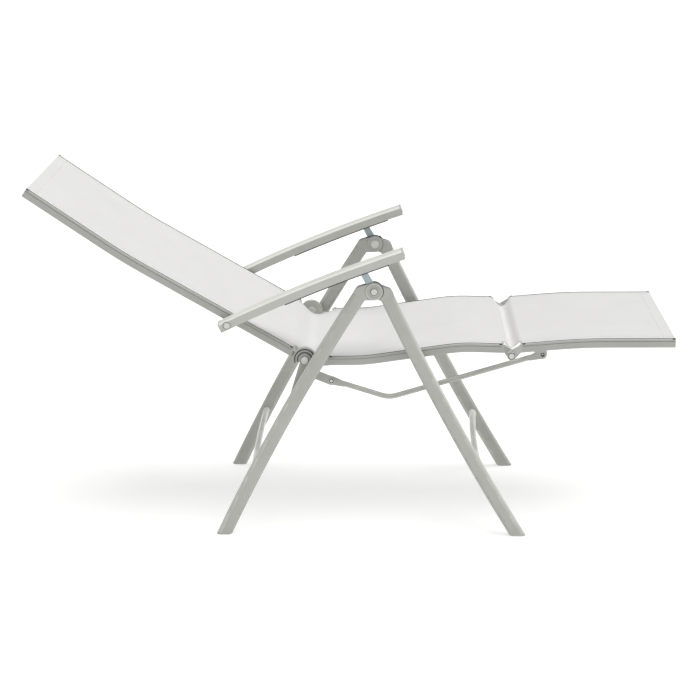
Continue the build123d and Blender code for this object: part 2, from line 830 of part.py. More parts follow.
rack_line = arm_line.trim(
    (arm_bolt_inset + rack_start) / arm_line.length,
    (arm_bolt_inset + rack_start + rack_length) / arm_line.length,
)
rack_top = arm_height / 2 - arm_wall - rack_clearance
rack_half = arm_width / 2 - arm_wall - rack_clearance
rack_section = Pos(0, rack_top - rack_web / 2) * Rectangle(2 * (rack_half - arm_wall), rack_web)
rack_bottom = -arm_height / 2 - rack_drop
for rack_side in (-1, 1):
    rack_section += Pos(
        rack_side * (rack_half - rack_flange / 2 - arm_wall), (rack_top + rack_bottom) / 2
    ) * Rectangle(rack_flange, rack_top - rack_bottom)
rack = along(rack_line, rack_section, leg_plane)
rack_step = (rack_length - rack_tooth_length) / rack_teeth
tooth_reach = rack_half - rack_flange - arm_wall
tooth_height = rack_drop + arm_height / 4
tooth_middle = rack_bottom + rack_tooth_inset + tooth_height / 2
for tooth in range(rack_teeth + 1):
    place = station(rack_line, (rack_tooth_length / 2 + tooth * rack_step) / rack_line.length, leg_plane)
    for rack_side in (-1, 1):
        tooth_side = rack_side * (tooth_reach - rack_tooth_depth / 2 + rack_flange / 4)
        tooth_block = Box(rack_tooth_depth + rack_flange / 2, tooth_height, rack_tooth_length)
        rack += place * Pos(tooth_side, tooth_middle) * tooth_block
keep_sides("armrest_rack", rack)


def arm_cap(share, outwards):
    """A moulded cap on the armrest's end, with a plug in the channel."""
    place = station(arm_line, share, leg_plane)
    lip = extrude(place * (arm_outer - arm_cut), amount=outwards * arm_cap_thickness)
    plug_face = Rectangle(
        arm_width - 2 * arm_wall - 2 * rack_clearance - arm_wall, arm_height - 2 * arm_wall - arm_wall
    )
    plug = extrude(place * plug_face, amount=-outwards * arm_plug_length)
    return lip + plug


def latch_mouth(share):
    """The opening under the front cap that the swung latch pin passes through."""
    place = station(arm_line, share, leg_plane)
    mouth = Pos(0, -arm_height / 2) * Rectangle(
        latch_pin_length + 2 * latch_mouth_play, 2 * latch_mouth_height
    )
    return extrude(place * mouth, amount=2 * arm_plug_length, both=True)


keep_pair("armrest_rear_caps", arm_cap(0, -1))
keep_pair("armrest_front_caps", arm_cap(1, 1) - latch_mouth(1))

arm_outer_face = leg_plane + arm_width / 2
arm_bolt_piece = disc(arm_bolt, arm_bolt_radius, rail_inner, arm_outer_face + hinge_play)
arm_bolt_piece += disc(
    arm_bolt, arm_head_radius, arm_outer_face + hinge_play, arm_outer_face + head_thickness
)
arm_bolt_piece += disc(
    arm_bolt,
    apex_cap_radius,
    arm_outer_face + head_thickness,
    arm_outer_face + head_thickness + cap_thickness,
)
keep_pair("arm_bolts", arm_bolt_piece)

# Move the chair so that the origin is under its middle, and write each node
everything = Compound([s for solids in nodes.values() for s in solids])
box = everything.bounding_box()
shift = -(box.min.X + box.max.X) / 2
for name, solids in nodes.items():
    moved = [Pos(shift, 0, 0) * s for s in solids]
    export_step(moved[0] if len(moved) == 1 else Compound(moved), f"parts/{name}.step")

for label, place in (
    ("apex", apex),
    ("corner", corner),
    ("knee", knee),
    ("seat_pivot", seat_pivot),
    ("stay_pivot", stay_pivot),
    ("crank_pin", crank_pin),
    ("rod_end", rod_end),
    ("arm_bolt", arm_bolt),
    ("latch_pin", latch_pin),
):
    print(label, round(place.X + shift, 3), round(place.Z, 3))
print("box", box.size.X, box.size.Y, box.size.Z, "lowest", box.min.Z, "nodes", len(nodes))
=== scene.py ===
import math
import bpy
from mathutils import Matrix, Vector


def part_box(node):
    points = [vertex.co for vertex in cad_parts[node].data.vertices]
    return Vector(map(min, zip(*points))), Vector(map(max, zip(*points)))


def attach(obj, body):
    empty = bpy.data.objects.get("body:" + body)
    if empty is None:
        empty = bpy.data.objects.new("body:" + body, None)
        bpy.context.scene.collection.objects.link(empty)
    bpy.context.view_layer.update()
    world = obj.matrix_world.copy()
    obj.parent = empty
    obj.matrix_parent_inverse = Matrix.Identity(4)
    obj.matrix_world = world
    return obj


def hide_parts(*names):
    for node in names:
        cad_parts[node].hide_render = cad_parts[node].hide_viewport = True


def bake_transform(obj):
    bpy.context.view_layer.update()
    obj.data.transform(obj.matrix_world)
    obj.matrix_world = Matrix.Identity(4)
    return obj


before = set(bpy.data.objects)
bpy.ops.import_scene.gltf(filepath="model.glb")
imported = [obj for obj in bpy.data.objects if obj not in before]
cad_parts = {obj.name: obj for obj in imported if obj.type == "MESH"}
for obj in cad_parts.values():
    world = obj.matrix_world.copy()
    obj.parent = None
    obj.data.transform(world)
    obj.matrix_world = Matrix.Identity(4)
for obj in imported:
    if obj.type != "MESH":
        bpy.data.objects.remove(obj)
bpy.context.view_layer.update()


# Leg frames: two pairs of curved flat-oval aluminium tubes, each pair joined by a bowed oval bar.
# They are powder coated in a satin silver grey: a thin, slightly pebbled film, cloudy in tone and
# in sheen, with painted light from above making it paler where it faces the sky. The bars get a
# near-white copy of the coat, painted light that shows them bright in the shade under the sling.
COAT_GREY = (0.420, 0.422, 0.392)
# Painted light: a near-white copy of the frame's coat that shows the bars bright in shade.
BAR_LIT_GREY = (0.86, 0.86, 0.82)
COAT_ROUGHNESS = 0.40
COAT_PEBBLE = 0.0011
COAT_DEPTH = 0.00012
COAT_GLOSS = 0.4
COAT_RELIEF = 0.35
# Painted light: how much paler each coat is painted where it faces the sky.
TOP_LIGHT_PAINT = 0.45
BAR_TOP_LIGHT_PAINT = 0.1
EDGE_RADIUS = 0.0008
EDGE_SAMPLES = 4


def new_material(name):
    """A new node material, with its nodes, its links and its shader."""
    material = bpy.data.materials.new(name)
    material.use_nodes = True
    nodes = material.node_tree.nodes
    return material, nodes, material.node_tree.links, nodes["Principled BSDF"]


def mapped(nodes, links, value, low, high, from_low=0.0, from_high=1.0):
    """A value carried over from one range to another."""
    spread = nodes.new("ShaderNodeMapRange")
    spread.inputs["From Min"].default_value = from_low
    spread.inputs["From Max"].default_value = from_high
    spread.inputs["To Min"].default_value = low
    spread.inputs["To Max"].default_value = high
    links.new(value, spread.inputs["Value"])
    return spread.outputs["Result"]


def mottle(nodes, links, place, size, low, high):
    """A soft cloudy pattern between two numbers, with its cloud size in metres."""
    noise = nodes.new("ShaderNodeTexNoise")
    noise.inputs["Scale"].default_value = 1 / size
    noise.inputs["Detail"].default_value = 3
    links.new(place, noise.inputs["Vector"])
    return mapped(nodes, links, noise.outputs["Fac"], low, high, from_low=0.3, from_high=0.7)


def product(nodes, links, first, second):
    """Two values multiplied."""
    times = nodes.new("ShaderNodeMath")
    times.operation = "MULTIPLY"
    links.new(first, times.inputs[0])
    links.new(second, times.inputs[1])
    return times.outputs["Value"]


def shaded(nodes, links, colour, factor):
    """A colour made lighter or darker by a factor that varies over the surface."""
    mix = nodes.new("ShaderNodeMix")
    mix.data_type = "RGBA"
    mix.blend_type = "MULTIPLY"
    mix.inputs["Factor"].default_value = 1.0
    mix.inputs["A"].default_value = (*colour, 1)
    grey = nodes.new("ShaderNodeCombineColor")
    for channel in ("Red", "Green", "Blue"):
        links.new(factor, grey.inputs[channel])
    links.new(grey.outputs["Color"], mix.inputs["B"])
    return mix.outputs["Result"]


def relief(nodes, links, shader, height, strength, depth, edge_radius=0.0):
    """Fine relief on the surface, and soft edges where they have a radius."""
    bump = nodes.new("ShaderNodeBump")
    bump.inputs["Strength"].default_value = strength
    bump.inputs["Distance"].default_value = depth
    links.new(height, bump.inputs["Height"])
    if edge_radius:
        soft_edge = nodes.new("ShaderNodeBevel")
        soft_edge.samples = EDGE_SAMPLES
        soft_edge.inputs["Radius"].default_value = edge_radius
        links.new(soft_edge.outputs["Normal"], bump.inputs["Normal"])
    links.new(bump.outputs["Normal"], shader.inputs["Normal"])


def coated(name, colour, roughness, pebble, depth, metal=0.0, gloss=0.0, top_light_paint=TOP_LIGHT_PAINT):
    """Paint or plating on metal: cloudy colour, painted light on sky-facing faces, fine pebbling.
    """
    material, nodes, links, shader = new_material(name)
    where = nodes.new("ShaderNodeTexCoord")
    place = where.outputs["Object"]
    facing = nodes.new("ShaderNodeSeparateXYZ")
    links.new(where.outputs["Normal"], facing.inputs["Vector"])
    upward = facing.outputs["Z"]
    # Painted light from above: the colour grows paler as the surface turns towards the sky.
    painted_top_light = mapped(nodes, links, upward, 1.0, 1.0 + top_light_paint, from_low=0.12, from_high=0.5)
    cloud = mottle(nodes, links, place, size=0.06, low=0.955, high=1.03)
    tone = product(nodes, links, cloud, painted_top_light)
    links.new(shaded(nodes, links, colour, tone), shader.inputs["Base Color"])
    sheen = mottle(nodes, links, place, size=0.025, low=roughness - 0.05, high=roughness + 0.07)
    links.new(sheen, shader.inputs["Roughness"])
    grain = nodes.new("ShaderNodeTexNoise")
    grain.inputs["Scale"].default_value = 1 / pebble
    grain.inputs["Detail"].default_value = 1.5
    links.new(place, grain.inputs["Vector"])
    relief(nodes, links, shader, grain.outputs["Fac"], COAT_RELIEF, depth, EDGE_RADIUS)
    shader.inputs["Metallic"].default_value = metal
    shader.inputs["Coat Weight"].default_value = gloss
    shader.inputs["Coat Roughness"].default_value = 0.25
    return material


def dress(material, *names):
    """Gives carried-over nodes their finish."""
    for name in names:
        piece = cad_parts[name]
        piece.data.materials.clear()
        piece.data.materials.append(material)


powder_coat = coated(
    "powder_coat", COAT_GREY, COAT_ROUGHNESS, COAT_PEBBLE, COAT_DEPTH, gloss=COAT_GLOSS
)
bar_painted_light_coat = coated(
    "bar_painted_light_coat", BAR_LIT_GREY, COAT_ROUGHNESS, COAT_PEBBLE, COAT_DEPTH,
    gloss=COAT_GLOSS, top_light_paint=BAR_TOP_LIGHT_PAINT,
)
dress(powder_coat, "rear_leg_left", "rear_leg_right", "front_leg_left", "front_leg_right")
dress(bar_painted_light_coat, "rear_cross_bar", "front_cross_bar")


# Weld beads: each bowed bar is welded all round to the inner face of its legs. The bead is a row
# of overlapping drops, laid with the torch and coated over with the bar, so it keeps the bar's
# colour and shows only as a rippled ring.
BEAD_RADIUS = 0.0017
BEAD_LENGTH = 0.8 * BEAD_RADIUS
BEAD_PITCH = 0.0021
BEAD_ROUNDS = 2
BAR_END_DEPTH = 0.0012
OUTLINE_DEGREES = 12


def tube_end(node, side):
    """The outline of a bar's end, in order, from the vertices that reach furthest to one side."""
    points = [v.co.copy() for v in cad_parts[node].data.vertices]
    reach = max(p.y * side for p in points)
    ring = [p for p in points if p.y * side > reach - BAR_END_DEPTH]
    centre = sum(ring, Vector()) / len(ring)
    outline = {}
    for p in ring:
        turn = math.degrees(math.atan2(p.z - centre.z, p.x - centre.x))
        part = round(turn / OUTLINE_DEGREES)
        held = outline.get(part)
        if held is None or (p - centre).length > (held - centre).length:
            outline[part] = p
    return [Vector((outline[t].x, side * reach, outline[t].z)) for t in sorted(outline)]


def new_piece(name, points, edges=(), faces=()):
    """An object at the origin, with its place in its mesh."""
    mesh = bpy.data.meshes.new(name)
    mesh.from_pydata([tuple(p) for p in points], list(edges), list(faces))
    piece = bpy.data.objects.new(name, mesh)
    bpy.context.scene.collection.objects.link(piece)
    return piece


def path_piece(name, paths, closed):
    """Bare edges that a Geometry Nodes tree can follow."""
    points, edges = [], []
    for path in paths:
        start = len(points)
        points += path
        edges += [(start + i, start + i + 1) for i in range(len(path) - 1)]
        if closed:
            edges.append((len(points) - 1, start))
    return new_piece(name, points, edges)


def row_tree(name, rounds):
    """A tree that lays a row of small drops along a path; more rounds make rounder drops."""
    tree = bpy.data.node_groups.new(name, "GeometryNodeTree")
    face = tree.interface
    face.new_socket("Geometry", in_out="INPUT", socket_type="NodeSocketGeometry")
    for label in ("Pitch", "Radius", "Length"):
        face.new_socket(label, in_out="INPUT", socket_type="NodeSocketFloat")
    face.new_socket("Finish", in_out="INPUT", socket_type="NodeSocketMaterial")
    face.new_socket("Geometry", in_out="OUTPUT", socket_type="NodeSocketGeometry")
    nodes, links = tree.nodes, tree.links
    given, result = nodes.new("NodeGroupInput"), nodes.new("NodeGroupOutput")
    curve = nodes.new("GeometryNodeMeshToCurve")
    links.new(given.outputs["Geometry"], curve.inputs["Mesh"])
    spots = nodes.new("GeometryNodeResampleCurve")
    spots.mode = "LENGTH"
    links.new(curve.outputs["Curve"], spots.inputs["Curve"])
    links.new(given.outputs["Pitch"], spots.inputs["Length"])
    drop = nodes.new("GeometryNodeMeshIcoSphere")
    drop.inputs["Radius"].default_value = 1.0
    drop.inputs["Subdivisions"].default_value = rounds
    size = nodes.new("ShaderNodeCombineXYZ")
    for axis, label in (("X", "Radius"), ("Y", "Radius"), ("Z", "Length")):
        links.new(given.outputs[label], size.inputs[axis])
    along = nodes.new("FunctionNodeAlignEulerToVector")
    along.axis = "Z"
    run = nodes.new("GeometryNodeInputTangent")
    links.new(run.outputs["Tangent"], along.inputs["Vector"])
    laid = nodes.new("GeometryNodeInstanceOnPoints")
    links.new(spots.outputs["Curve"], laid.inputs["Points"])
    links.new(drop.outputs["Mesh"], laid.inputs["Instance"])
    links.new(along.outputs["Rotation"], laid.inputs["Rotation"])
    links.new(size.outputs["Vector"], laid.inputs["Scale"])
    real = nodes.new("GeometryNodeRealizeInstances")
    links.new(laid.outputs["Instances"], real.inputs["Geometry"])
    finish = nodes.new("GeometryNodeSetMaterial")
    links.new(real.outputs["Geometry"], finish.inputs["Geometry"])
    links.new(given.outputs["Finish"], finish.inputs["Material"])
    links.new(finish.outputs["Geometry"], result.inputs["Geometry"])
    return tree


def keep_as_mesh(piece):
    """Keeps what a piece's modifiers make as its plain mesh."""
    graph = bpy.context.evaluated_depsgraph_get()
    graph.update()
    mesh = bpy.data.meshes.new_from_object(piece.evaluated_get(graph))
    piece.modifiers.clear()
    piece.data = mesh


def grow(piece, tree, **values):
    """Runs a tree on a piece and keeps the result, with smooth faces."""
    modifier = piece.modifiers.new("build", "NODES")
    modifier.node_group = tree
    for socket in tree.interface.items_tree:
        if socket.in_out == "INPUT" and socket.name in values:
            modifier[socket.identifier] = values[socket.name]
    keep_as_mesh(piece)
    for face in piece.data.polygons:
        face.use_smooth = True


bead_tree = row_tree("weld_bead", BEAD_ROUNDS)
for bar, body in (("rear_cross_bar", "rear_frame"), ("front_cross_bar", "front_frame")):
    welds = path_piece(bar + "_welds", [tube_end(bar, 1), tube_end(bar, -1)], closed=True)
    grow(
        welds, bead_tree,
        Pitch=BEAD_PITCH, Radius=BEAD_RADIUS, Length=BEAD_LENGTH, Finish=bar_painted_light_coat,
    )
    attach(welds, body)


# Apex hinge and corner and knee lugs: die castings pressed into the tube ends and coated with
# them. The castings are a little smoother and a trace lighter than the extruded tubes.
CAST_GREY = (0.425, 0.427, 0.397)
CAST_ROUGHNESS = 0.36
CAST_PEBBLE = 0.0016
CAST_DEPTH = 0.00010
cast_coat = coated(
    "cast_coat", CAST_GREY, CAST_ROUGHNESS, CAST_PEBBLE, CAST_DEPTH, gloss=COAT_GLOSS
)
dress(cast_coat, "rear_knuckle_left", "rear_knuckle_right", "front_knuckle_left")
dress(cast_coat, "front_knuckle_right", "back_corner_lugs", "seat_corner_lugs")
dress(cast_coat, "seat_knee_lugs", "leg_rest_knee_lugs")


# Bolt heads: turned steel, painted like the frame, with a ring round a flat cap. Latch pins and
# rivets are bare zinc, and the long bolts of seat and stays have the coat of the legs. Fine
# turning marks run round each pin, whose axis lies across the chair.
PAINT_GREY = (0.66, 0.662, 0.615)
ZINC_GREY = (0.56, 0.56, 0.55)
TURNED_PITCH = 0.0007
TURNED_DEPTH = 0.00005
TURNED_RELIEF = 0.2
PIN_EDGE_RADIUS = 0.0006
WAVE_LENGTH = 0.3183


def turned(name, colour, roughness, metal):
    """Metal with fine turning marks round the Y axis."""
    material, nodes, links, shader = new_material(name)
    place = nodes.new("ShaderNodeTexCoord").outputs["Object"]
    rings = nodes.new("ShaderNodeTexWave")
    rings.bands_direction = "Y"
    rings.inputs["Scale"].default_value = WAVE_LENGTH / TURNED_PITCH
    rings.inputs["Distortion"].default_value = 0.6
    links.new(place, rings.inputs["Vector"])
    marks = rings.outputs["Fac"]
    relief(nodes, links, shader, marks, TURNED_RELIEF, TURNED_DEPTH, PIN_EDGE_RADIUS)
    cloud = mottle(nodes, links, place, size=0.012, low=0.93, high=1.05)
    links.new(shaded(nodes, links, colour, cloud), shader.inputs["Base Color"])
    sheen = mottle(nodes, links, place, size=0.006, low=roughness - 0.06, high=roughness + 0.08)
    links.new(sheen, shader.inputs["Roughness"])
    shader.inputs["Metallic"].default_value = metal
    return material


bolt_paint = turned("bolt_paint", PAINT_GREY, roughness=0.34, metal=0.1)
zinc_pin = turned("zinc_pin", ZINC_GREY, roughness=0.30, metal=0.9)
dress(bolt_paint, "apex_bolts", "arm_bolts", "knee_pins", "stay_bolts", "corner_pins")
dress(zinc_pin, "latch_pins", "crank_rivets", "rod_rivets")
dress(powder_coat, "seat_bolts", "stay_pins")


# Rails: one grooved aluminium extrusion, bent and cut into six lengths, then powder coated with
# the frame. The cross tubes under the sling have a slightly paler, duller coat.
RAIL_GREY = (0.380, 0.384, 0.356)
TUBE_GREY = (0.450, 0.455, 0.420)
RAIL_PEBBLE = 0.0010
RAIL_TOP_LIGHT_PAINT = 0.05
rail_coat = coated(
    "rail_coat", RAIL_GREY, 0.38, RAIL_PEBBLE, CAST_DEPTH, gloss=COAT_GLOSS, top_light_paint=RAIL_TOP_LIGHT_PAINT
)
tube_coat = coated("tube_coat", TUBE_GREY, 0.42, COAT_PEBBLE, CAST_DEPTH)
dress(rail_coat, "back_rail_left", "back_rail_right", "seat_rail_left", "seat_rail_right")
dress(rail_coat, "leg_rest_rail_left", "leg_rest_rail_right")
dress(tube_coat, "back_cross_tubes", "seat_cross_tubes", "leg_rest_cross_tubes")


# Flat steel parts: stays, cranks, brackets and link rods, punched and bent, then coated. The
# latch plates are bare zinc-plated steel with the bluish cast and the spangle of the plating.
STEEL_GREY = (0.430, 0.433, 0.400)
PLATING_BLUE = (0.42, 0.50, 0.52)
STEEL_PEBBLE = 0.0012
SPANGLE = 0.0040
SPANGLE_DEPTH = 0.00008
steel_coat = coated("steel_coat", STEEL_GREY, 0.42, STEEL_PEBBLE, COAT_DEPTH, metal=0.05)
latch_zinc = coated("latch_zinc", PLATING_BLUE, 0.36, SPANGLE, SPANGLE_DEPTH, metal=0.45)
dress(steel_coat, "stay_left", "stay_right", "crank_left", "crank_right", "leg_rest_brackets")
dress(steel_coat, "link_rod_left", "link_rod_right")
dress(latch_zinc, "latch_plate_left", "latch_plate_right")


# Plastic parts: foot plugs, rail end caps and spacers in a matt grey with a fine spark-eroded
# grain, armrest caps a touch lighter, and the racks under the armrests in black, which is painted
# shade along the armrests' undersides.
PLUG_GREY = (0.43, 0.433, 0.405)
CAP_GREY = (0.51, 0.51, 0.475)
RACK_SHADE_BLACK = (0.018, 0.018, 0.019)
SPARK_GRAIN = 0.0009
SPARK_DEPTH = 0.00006
SPARK_RELIEF = 0.3


def moulded(name, colour, roughness, depth=SPARK_DEPTH):
    """Moulded plastic with a fine even grain."""
    material, nodes, links, shader = new_material(name)
    place = nodes.new("ShaderNodeTexCoord").outputs["Object"]
    grain = nodes.new("ShaderNodeTexVoronoi")
    grain.inputs["Scale"].default_value = 1 / SPARK_GRAIN
    links.new(place, grain.inputs["Vector"])
    relief(nodes, links, shader, grain.outputs["Distance"], SPARK_RELIEF, depth, EDGE_RADIUS)
    cloud = mottle(nodes, links, place, size=0.03, low=0.96, high=1.03)
    links.new(shaded(nodes, links, colour, cloud), shader.inputs["Base Color"])
    sheen = mottle(nodes, links, place, size=0.01, low=roughness - 0.04, high=roughness + 0.06)
    links.new(sheen, shader.inputs["Roughness"])
    return material


grey_plastic = moulded("grey_plastic", PLUG_GREY, roughness=0.52)
cap_plastic = moulded("cap_plastic", CAP_GREY, roughness=0.48)
# Painted shade: the racks are black to draw the shade line under each armrest.
rack_painted_shade = moulded("rack_painted_shade", RACK_SHADE_BLACK, roughness=0.46)
dress(grey_plastic, "rear_feet", "front_feet", "back_end_caps", "leg_rest_end_caps")
dress(grey_plastic, "stay_spacers", "seat_spacers")
dress(cap_plastic, "armrest_rear_caps", "armrest_front_caps")
dress(rack_painted_shade, "armrest_rack_left", "armrest_rack_right")


# Washers: black nylon rings under the caps and heads of the hinge bolts; their black is also
# painted shade of the gap round each cap, a thin dark circle. The apex discs also have a raised
# rim in the paler bolt paint, which is a painted highlight on each disc's edge.
NYLON_AND_SHADE_BLACK = (0.035, 0.035, 0.034)
RING_STEPS = 32
RING_SIDES = 8


def axis_of(pins):
    """Where the axis of a pair of pins stands in the side view, as x and z."""
    low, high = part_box(pins)
    middle = (low + high) / 2
    return middle.x, middle.z


def skin_piece(name, points, faces, material, smooth=True):
    """A piece from its points and faces, with its four-sided faces smooth."""
    piece = new_piece(name, points, faces=faces)
    piece.data.materials.append(material)
    for face in piece.data.polygons:
        face.use_smooth = smooth and len(face.vertices) == 4
    return piece


def ring_piece(name, pins, distance, radius, thickness, material):
    """A round ring about a pair of pins on each side, at a distance from the chair's middle."""
    x, z = axis_of(pins)
    points, faces = [], []
    for side in (1, -1):
        start = len(points)
        for i in range(RING_STEPS):
            turn = math.tau * i / RING_STEPS
            for k in range(RING_SIDES):
                tube = math.tau * k / RING_SIDES
                reach = radius + thickness * math.cos(tube)
                points.append((
                    x + reach * math.cos(turn),
                    side * (distance + thickness * math.sin(tube)),
                    z + reach * math.sin(turn),
                ))
        for i in range(RING_STEPS):
            here, beyond = start + RING_SIDES * i, start + RING_SIDES * ((i + 1) % RING_STEPS)
            for k in range(RING_SIDES):
                on = (k + 1) % RING_SIDES
                face = (here + k, here + on, beyond + on, beyond + k)
                faces.append(face if side == 1 else face[::-1])
    return skin_piece(name, points, faces, material)


# Black nylon, also used as painted shade: the same black draws the shade in gaps, slots and
# grooves.
nylon_and_painted_shade = moulded("nylon_and_painted_shade", NYLON_AND_SHADE_BLACK, roughness=0.45, depth=SPARK_DEPTH / 2)
for name, body, pins, distance, radius, thickness in (
    ("apex_washers_and_shade", "rear_frame", "apex_bolts", 0.2970, 0.0084, 0.0006),
    ("knee_washers_and_shade", "seat", "knee_pins", 0.2587, 0.0077, 0.0007),
    ("arm_washers_and_shade", "back", "arm_bolts", 0.3092, 0.0082, 0.0005),
    ("corner_washers_and_shade", "stays", "stay_bolts", 0.2640, 0.0089, 0.0006),
    ("crank_washers_and_shade", "back", "crank_rivets", 0.2327, 0.0044, 0.0010),
    ("bracket_washers_and_shade", "leg_rest", "rod_rivets", 0.2311, 0.0036, 0.0009),
):
    washers_and_shade = ring_piece(name, pins, distance, radius, thickness, nylon_and_painted_shade)
    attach(washers_and_shade, body)

RIM_DISTANCE = 0.2947
RIM_RADIUS = 0.0176
RIM_THICKNESS = 0.0010
# Painted highlight: the rims take the paler bolt paint to draw light on each disc's edge.
rim_highlights = ring_piece("apex_rim_highlights", "apex_bolts", RIM_DISTANCE, RIM_RADIUS, RIM_THICKNESS, bolt_paint)
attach(rim_highlights, "rear_frame")


# Corner covers: a ribbed fan over each corner hinge, cast on the seat's lug. It stays clear of the
# back's rail, which turns round the same pin. Two thin black strips between its ribs are painted
# shade of slots.
COVER_SWEEP = (-25, 200)
COVER_INNER, COVER_OUTER = 0.0085, 0.0275
COVER_LOW, COVER_FACE, RIB_FACE = 0.2446, 0.2562, 0.2574
OUTER_RIB, INNER_RIB = (0.0252, 0.0275), (0.0190, 0.0213)
OUTER_SLOT, INNER_SLOT = (0.0216, 0.0240), (0.0150, 0.0172)
SLOT_LOW, SLOT_FACE = 0.2560, 0.25635
FAN_STEPS = 24


def fan_piece(name, pins, sweep, bands, material):
    """Curved blocks about a pair of pins, on both sides: two radii and two distances each."""
    x, z = axis_of(pins)
    points, faces = [], []
    for inner, outer, low, high in bands:
        for side in (1, -1):
            start = len(points)
            for i in range(FAN_STEPS + 1):
                turn = math.radians(sweep[0] + (sweep[1] - sweep[0]) * i / FAN_STEPS)
                for radius, y in ((inner, low), (outer, low), (outer, high), (inner, high)):
                    point = (x + radius * math.cos(turn), side * y, z + radius * math.sin(turn))
                    points.append(point)
            last = start + 4 * FAN_STEPS
            block = []
            for here in range(start, last, 4):
                for k in range(4):
                    on = (k + 1) % 4
                    block.append((here + k, here + on, here + 4 + on, here + 4 + k))
            block.append((start + 3, start + 2, start + 1, start))
            block.append((last, last + 1, last + 2, last + 3))
            faces += block if side == 1 else [face[::-1] for face in block]
    return skin_piece(name, points, faces, material, smooth=False)


covers = fan_piece(
    "corner_covers", "corner_pins", COVER_SWEEP,
    [
        (COVER_INNER, COVER_OUTER, COVER_LOW, COVER_FACE),
        (*OUTER_RIB, COVER_FACE, RIB_FACE),
        (*INNER_RIB, COVER_FACE, RIB_FACE),
    ],
    cast_coat,
)
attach(covers, "seat")
# Painted shade: black strips in the slots between the ribs.
slot_shade = fan_piece(
    "corner_cover_slot_shade", "corner_pins", COVER_SWEEP,
    [(*OUTER_SLOT, SLOT_LOW, SLOT_FACE), (*INNER_SLOT, SLOT_LOW, SLOT_FACE)],
    nylon_and_painted_shade,
)
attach(slot_shade, "seat")


# Apex liners: a strip of black nylon in the curved gap between each apex disc and the front
# casting that turns round it, standing for a spacer there and for painted shade of the gap. It
# shows as a dark arc on the side of the front leg.
LINER_SWEEP = (-38, 58)
LINER_INNER, LINER_OUTER = 0.0201, 0.0217
LINER_DEPTH = 0.0030
LINER_STAND = 0.0003
front_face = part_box("front_knuckle_left")[1].y
# Painted shade: the black liners draw the shade of the gap as a dark arc.
liners_and_shade = fan_piece(
    "apex_liners_and_shade", "apex_bolts", LINER_SWEEP,
    [(LINER_INNER, LINER_OUTER, front_face - LINER_DEPTH, front_face + LINER_STAND)],
    nylon_and_painted_shade,
)
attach(liners_and_shade, "front_frame")


# Armrests: a flat aluminium profile with rounded edges, gently arched, coated lighter than the
# frame;
# the coat is painted palest along the top, as painted light from above.
ARM_GREY = (0.480, 0.483, 0.448)
ARM_GLOSS = 0.5
# Painted light: the armrests' tops are painted palest of all.
ARM_TOP_LIGHT_PAINT = 0.65
arm_coat = coated(
    "arm_coat", ARM_GREY, COAT_ROUGHNESS, COAT_PEBBLE, CAST_DEPTH,
    gloss=ARM_GLOSS, top_light_paint=ARM_TOP_LIGHT_PAINT,
)
dress(arm_coat, "armrest_left", "armrest_right")


# Sling: one length of coated polyester mesh in off-white, from the head to the toes. Its long
# edges are welded round a black welt and slid into the grooves of the rails. The welt and a black
# stop at each end of it show as a thin line, which is also painted shade of the groove. A second
# thin black line along the rail's outer face is painted shade of a groove.
RAIL_HALF_HEIGHT = 0.0105
RAIL_OUTER = 0.2560
SLING_LIFT = 0.0003
SLING_THICKNESS = 0.0011
GROOVE_PLANE = 0.2506
GROOVE_REACH = 0.0048
FOLD_RADIUS = 0.0014
FOLD_STEPS = 4
WELT_PLANE = 0.25255
WELT_HEIGHT = 0.0102
WELT_HALF_WIDTH = 0.0008
WELT_HALF_HEIGHT = 0.0013
STOP_PLANE = 0.2545
STOP_HALF_WIDTH = 0.0018
STOP_HALF_HEIGHT = 0.0018
STOP_ROWS = 3
LINE_HEIGHT = 0.0046
LINE_HALF_WIDTH = 0.00015
LINE_HALF_HEIGHT = 0.0004
CORD_SIDES = 8
YARN_PITCH = 0.0022
YARN_DEPTH = 0.00025
YARN_RELIEF = 0.35
SLING_WHITE = (0.745, 0.741, 0.727)
# Each rail's middle line as x and z: its two ends, and where its straight runs would meet.
BACK_CORNERS = ((-0.727609, 0.785), (-0.511109, 0.639), (-0.133409, 0.4239))
SEAT_CORNERS = ((-0.049109, 0.4025), (0.031891, 0.4035), (0.249891, 0.436), (0.345891, 0.4335))
LEG_REST_CORNERS = ((0.388891, 0.4345), (0.523891, 0.4465), (0.732891, 0.448))
BACK_BEND, SEAT_BEND, LEG_REST_BEND = 1.4, 0.42, 1.6
BEND_STEPS = 12
SHEET_INSET = 0.0020
CAP_COVER = 0.0024
SHEET_CELLS = 24
STEP_ALONG = 0.006
END_ROW = 0.0003


def woven(name, colour):
    """Coated yarns in a plain weave, from the piece's own UV map in metres."""
    material, nodes, links, shader = new_material(name)
    place = nodes.new("ShaderNodeTexCoord").outputs["UV"]
    yarns = []
    for direction in ("X", "Y"):
        band = nodes.new("ShaderNodeTexWave")
        band.bands_direction = direction
        band.inputs["Scale"].default_value = WAVE_LENGTH / YARN_PITCH
        band.inputs["Distortion"].default_value = 0.0
        links.new(place, band.inputs["Vector"])
        yarns.append(band.outputs["Fac"])
    weave = product(nodes, links, *yarns)
    tone = mapped(nodes, links, weave, 0.93, 1.0)
    cloud = mottle(nodes, links, place, size=0.11, low=0.975, high=1.01)
    shade = product(nodes, links, tone, cloud)
    links.new(shaded(nodes, links, colour, shade), shader.inputs["Base Color"])
    relief(nodes, links, shader, weave, YARN_RELIEF, YARN_DEPTH)
    shader.inputs["Roughness"].default_value = 0.62
    shader.inputs["Sheen Weight"].default_value = 0.15
    shader.inputs["Sheen Roughness"].default_value = 0.5
    return material


